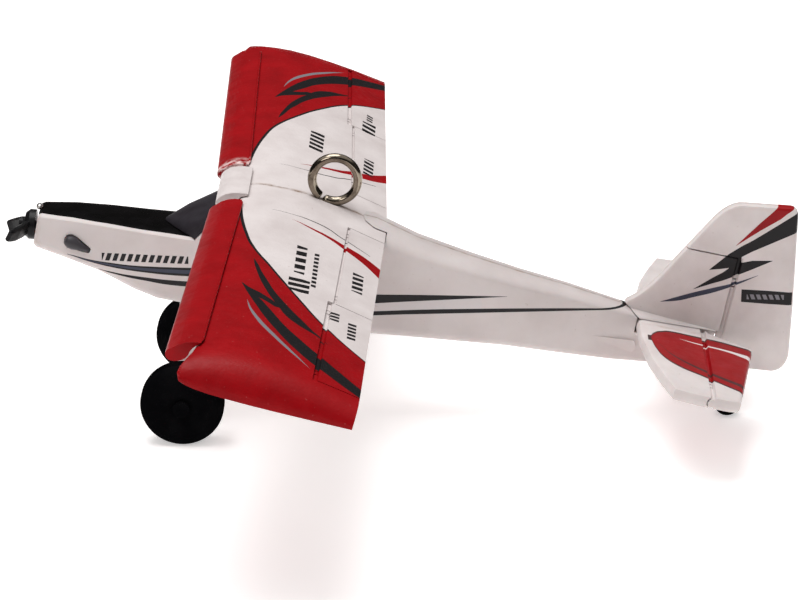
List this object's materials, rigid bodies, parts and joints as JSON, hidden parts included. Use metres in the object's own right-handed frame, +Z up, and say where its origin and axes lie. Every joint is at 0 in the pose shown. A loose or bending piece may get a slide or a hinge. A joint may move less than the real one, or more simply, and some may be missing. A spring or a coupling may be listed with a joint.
{
  "type": "hanging miniature model aeroplane",
  "caption": "Small moulded high-wing model aeroplane on three wheels, with hinged control surfaces, a turning propeller and a screw eye to hang it by.",
  "frame": {"origin": "centre of the bounding box, on the ground plane under the wheels", "axes": "+X forward out of the nose, +Y to the aircraft's left along the wing, +Z up from the ground; the aircraft stands on its three wheels, nose 11 degrees up"},
  "size_m": [0.1154, 0.1412, 0.0396],
  "materials": {
    "white_plastic": "satin moulded, printed stripes",
    "red_plastic": "satin moulded",
    "black_plastic": "gloss moulded",
    "slate_plastic": "satin moulded",
    "wheel_black": "matt moulded",
    "eye_nickel": "polished dark nickel plate",
    "hinge_wire": "drawn wire"
  },
  "bodies": {
    "airframe": {"centre_fairing": "white_plastic", "exhaust_left": "slate_plastic", "exhaust_right": "slate_plastic", "eye_screw": "eye_nickel", "fin": "white_plastic", "fuselage_left": "white_plastic", "fuselage_right": "white_plastic", "gear_leg_left": "black_plastic", "gear_leg_right": "black_plastic", "main_axle_left": "black_plastic", "main_axle_right": "black_plastic", "nose_hatch": "black_plastic", "propeller_shaft": "hinge_wire", "side_window_left": "slate_plastic", "side_window_right": "slate_plastic", "slat_left": "red_plastic", "slat_right": "red_plastic", "stabilizer": "white_plastic", "windshield": "slate_plastic", "wing_joiner": "hinge_wire", "wing_left": "white_plastic", "wing_right": "white_plastic"},
    "flap_left": {"flap_left": "white_plastic", "flap_wire_left": "hinge_wire"},
    "flap_right": {"flap_right": "white_plastic", "flap_wire_right": "hinge_wire"},
    "aileron_left": {"aileron_left": "red_plastic", "aileron_wire_left": "hinge_wire"},
    "aileron_right": {"aileron_right": "red_plastic", "aileron_wire_right": "hinge_wire"},
    "elevators": {"elevator_left": "white_plastic", "elevator_right": "white_plastic", "elevator_wire": "hinge_wire"},
    "rudder": {"rudder": "white_plastic", "rudder_wire": "hinge_wire", "tail_fork": "black_plastic", "tail_axle": "hinge_wire"},
    "tail_wheel": {"tail_wheel": "wheel_black"},
    "main_wheel_left": {"main_wheel_left": "wheel_black"},
    "main_wheel_right": {"main_wheel_right": "wheel_black"},
    "propeller": {"propeller": "black_plastic"}
  },
  "joints": [
    {"name": "propeller_spin", "type": "hinge", "parent": "airframe", "child": "propeller", "pos_m": [0.05274, 0, 0.02805], "axis": [0.9976, 0, 0.0698], "continuous": true},
    {"name": "flap_left_hinge", "type": "hinge", "parent": "airframe", "child": "flap_left", "pos_m": [0.00709, 0.0076, 0.03005], "axis": [-0.0288, -0.9996, -0.0083], "range_deg": [0, 35]},
    {"name": "flap_right_hinge", "type": "hinge", "parent": "airframe", "child": "flap_right", "pos_m": [0.00709, -0.0076, 0.03005], "axis": [0.0288, -0.9996, 0.0083], "range_deg": [0, 35]},
    {"name": "aileron_left_hinge", "type": "hinge", "parent": "airframe", "child": "aileron_left", "pos_m": [0.00874, 0.0384, 0.03056], "axis": [-0.0288, -0.9996, -0.0083], "range_deg": [-20, 16]},
    {"name": "aileron_right_hinge", "type": "hinge", "parent": "airframe", "child": "aileron_right", "pos_m": [0.00874, -0.0384, 0.03056], "axis": [0.0288, -0.9996, 0.0083], "range_deg": [-20, 16]},
    {"name": "elevator_hinge", "type": "hinge", "parent": "airframe", "child": "elevators", "pos_m": [-0.04429, 0, 0.01286], "axis": [0, -1, 0], "range_deg": [-22, 18]},
    {"name": "rudder_hinge", "type": "hinge", "parent": "airframe", "child": "rudder", "pos_m": [-0.04639, 0, 0.00899], "axis": [-0.1908, 0, 0.9816], "range_deg": [-25, 25]},
    {"name": "tail_wheel_spin", "type": "hinge", "parent": "rudder", "child": "tail_wheel", "pos_m": [-0.04867, 0, 0.00185], "axis": [0, 1, 0], "continuous": true},
    {"name": "main_wheel_left_spin", "type": "hinge", "parent": "airframe", "child": "main_wheel_left", "pos_m": [0.03064, 0.0135, 0.00604], "axis": [0, 1, 0], "continuous": true},
    {"name": "main_wheel_right_spin", "type": "hinge", "parent": "airframe", "child": "main_wheel_right", "pos_m": [0.03064, -0.0135, 0.00604], "axis": [0, 1, 0], "continuous": true}
  ]
}
